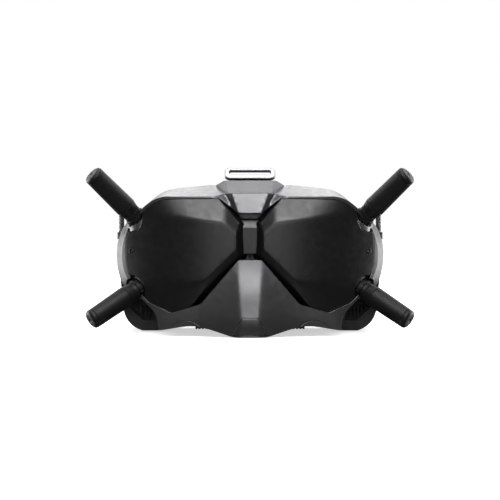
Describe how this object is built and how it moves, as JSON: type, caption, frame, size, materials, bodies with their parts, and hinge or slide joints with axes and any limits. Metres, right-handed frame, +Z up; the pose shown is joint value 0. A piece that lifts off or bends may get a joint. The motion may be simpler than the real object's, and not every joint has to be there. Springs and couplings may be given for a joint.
{
  "type": "fpv goggles",
  "caption": "Grey mask-shaped video goggles with a black faceted visor, folding stub antennas at the corners, sliding eyepieces, a foam face pad and strap loops.",
  "frame": {"origin": "bottom centre of the whole object's box, on the surface that it stands on", "axes": "+Z up, +Y towards the wearer's face, -Y the way the visor faces, +X towards the wearer's left"},
  "size_m": [0.2206, 0.122, 0.114],
  "materials": {
    "mask_grey": "fine matt texture",
    "visor_black": "satin",
    "housing_black": "matt",
    "antenna_black": "soft satin",
    "grille_black": "matt",
    "foam": "brushed cloth over foam",
    "loop_metal": "dark anodised satin",
    "loop_black": "satin",
    "gold": "gold plated",
    "steel": "ground",
    "screw_black": "blackened",
    "board_green": "solder mask",
    "heat_sink": "extruded",
    "fan_black": "satin",
    "lens_glass": "coated",
    "screen": "gloss",
    "port_metal": "plated",
    "port_black": "satin",
    "display_window": "gloss smoked",
    "button_grey": "satin"
  },
  "bodies": {
    "goggles": {"mask_shell": "mask_grey", "front_visor": "visor_black", "nose_insert": "mask_grey", "lower_trims": "mask_grey", "visor_screws": "screw_black", "strap_bracket": "mask_grey", "rear_housing": "housing_black", "nose_bridge_cover": "housing_black", "intake_grilles": "grille_black", "lens_plate": "housing_black", "pad_frame": "housing_black", "face_pad": "foam", "side_strap_anchors": "loop_black", "main_board": "board_green", "heat_sink": "heat_sink", "fan_frame": "fan_black", "ipd_rods": "steel", "antenna_connectors": "gold", "coupling_nuts": "antenna_black", "antenna_bases": "antenna_black", "antenna_hinge_pins": "steel", "audio_jack": "port_black", "av_in_jack": "port_black", "power_jack": "port_black", "usb_c_port": "port_metal", "microsd_slot": "port_black", "channel_display": "display_window", "switch_boards": "board_green"},
    "top_loop": {"top_strap_loop": "loop_metal"},
    "left_loop": {"strap_loop_left": "loop_metal"},
    "right_loop": {"strap_loop_right": "loop_metal"},
    "fan": {"fan_rotor": "fan_black"},
    "joystick_gimbal": {"joystick_ring": "steel"},
    "joystick_lever": {"joystick_stem": "steel"},
    "joystick_button": {"joystick_cap": "button_grey"},
    "antenna_upper_right": {"antenna_barrel_upper_right": "antenna_black", "antenna_cap_upper_right": "antenna_black", "antenna_element_upper_right": "board_green"},
    "antenna_upper_left": {"antenna_barrel_upper_left": "antenna_black", "antenna_cap_upper_left": "antenna_black", "antenna_element_upper_left": "board_green"},
    "antenna_lower_right": {"antenna_barrel_lower_right": "antenna_black", "antenna_cap_lower_right": "antenna_black", "antenna_element_lower_right": "board_green"},
    "antenna_lower_left": {"antenna_barrel_lower_left": "antenna_black", "antenna_cap_lower_left": "antenna_black", "antenna_element_lower_left": "board_green"},
    "left_eyepiece": {"eyepiece_barrel_left": "housing_black", "eyepiece_lens_left": "lens_glass", "display_panel_left": "screen", "ipd_slider_left": "button_grey"},
    "right_eyepiece": {"eyepiece_barrel_right": "housing_black", "eyepiece_lens_right": "lens_glass", "display_panel_right": "screen", "ipd_slider_right": "button_grey"},
    "record_button_cap": {"record_button": "button_grey"},
    "back_button_cap": {"back_button": "button_grey"},
    "link_button_cap": {"link_button": "button_grey"},
    "channel_up_button_cap": {"channel_up_button": "button_grey"},
    "channel_down_button_cap": {"channel_down_button": "button_grey"}
  },
  "joints": [
    {"name": "antenna_fold_upper_right", "type": "hinge", "parent": "goggles", "child": "antenna_upper_right", "pos_m": [-0.08562, -0.03613, 0.08814], "axis": [-0.7193, 0, -0.6947], "range_deg": [0, 90]},
    {"name": "antenna_fold_upper_left", "type": "hinge", "parent": "goggles", "child": "antenna_upper_left", "pos_m": [0.08562, -0.03613, 0.08814], "axis": [-0.7193, 0, 0.6947], "range_deg": [0, 90]},
    {"name": "antenna_fold_lower_right", "type": "hinge", "parent": "goggles", "child": "antenna_lower_right", "pos_m": [-0.08561, -0.03701, 0.02501], "axis": [0.5592, 0, -0.829], "range_deg": [0, 90]},
    {"name": "antenna_fold_lower_left", "type": "hinge", "parent": "goggles", "child": "antenna_lower_left", "pos_m": [0.08561, -0.03701, 0.02501], "axis": [0.5592, 0, 0.829], "range_deg": [0, 90]},
    {"name": "left_eyepiece_slide", "type": "slide", "parent": "goggles", "child": "left_eyepiece", "axis": [1, 0, 0], "range_m": [-0.003, 0.003]},
    {"name": "right_eyepiece_slide", "type": "slide", "parent": "goggles", "child": "right_eyepiece", "axis": [-1, 0, 0], "range_m": [-0.003, 0.003]},
    {"name": "fan_spin", "type": "hinge", "parent": "goggles", "child": "fan", "pos_m": [0, -0.01, 0.084], "axis": [0, 1, 0], "continuous": true},
    {"name": "top_loop_swing", "type": "hinge", "parent": "goggles", "child": "top_loop", "pos_m": [0, -0.01, 0.1044], "axis": [1, 0, 0], "range_deg": [-36, 12]},
    {"name": "left_loop_swing", "type": "hinge", "parent": "goggles", "child": "left_loop", "pos_m": [0.0924, 0.018, 0.067], "axis": [0, 0, -1], "range_deg": [-3, 70]},
    {"name": "right_loop_swing", "type": "hinge", "parent": "goggles", "child": "right_loop", "pos_m": [-0.0924, 0.018, 0.067], "axis": [0, 0, 1], "range_deg": [-3, 70]},
    {"name": "record_button_press", "type": "slide", "parent": "goggles", "child": "record_button_cap", "axis": [-0.7121, 0, -0.7021], "range_m": [0, 0.0007], "stiffness_N_per_m": 900},
    {"name": "back_button_press", "type": "slide", "parent": "goggles", "child": "back_button_cap", "axis": [-0.7121, 0, -0.7021], "range_m": [0, 0.0007], "stiffness_N_per_m": 900},
    {"name": "link_button_press", "type": "slide", "parent": "goggles", "child": "link_button_cap", "axis": [0.7121, 0, -0.7021], "range_m": [0, 0.0007], "stiffness_N_per_m": 900},
    {"name": "channel_up_button_press", "type": "slide", "parent": "goggles", "child": "channel_up_button_cap", "axis": [1, 0, 0], "range_m": [0, 0.0007], "stiffness_N_per_m": 900},
    {"name": "channel_down_button_press", "type": "slide", "parent": "goggles", "child": "channel_down_button_cap", "axis": [1, 0, 0], "range_m": [0, 0.0007], "stiffness_N_per_m": 900},
    {"name": "joystick_tilt_fore_aft", "type": "hinge", "parent": "goggles", "child": "joystick_gimbal", "pos_m": [0.0856, 0.008, 0.057], "axis": [0, 0, 1], "range_deg": [-8, 8], "stiffness_Nm_per_rad": 0.01},
    {"name": "joystick_tilt_up_down", "type": "hinge", "parent": "joystick_gimbal", "child": "joystick_lever", "pos_m": [0.0856, 0.008, 0.057], "axis": [0, 1, 0], "range_deg": [-8, 8], "stiffness_Nm_per_rad": 0.01},
    {"name": "joystick_press", "type": "slide", "parent": "joystick_lever", "child": "joystick_button", "axis": [-1, 0, 0], "range_m": [0, 0.0006], "stiffness_N_per_m": 900}
  ]
}
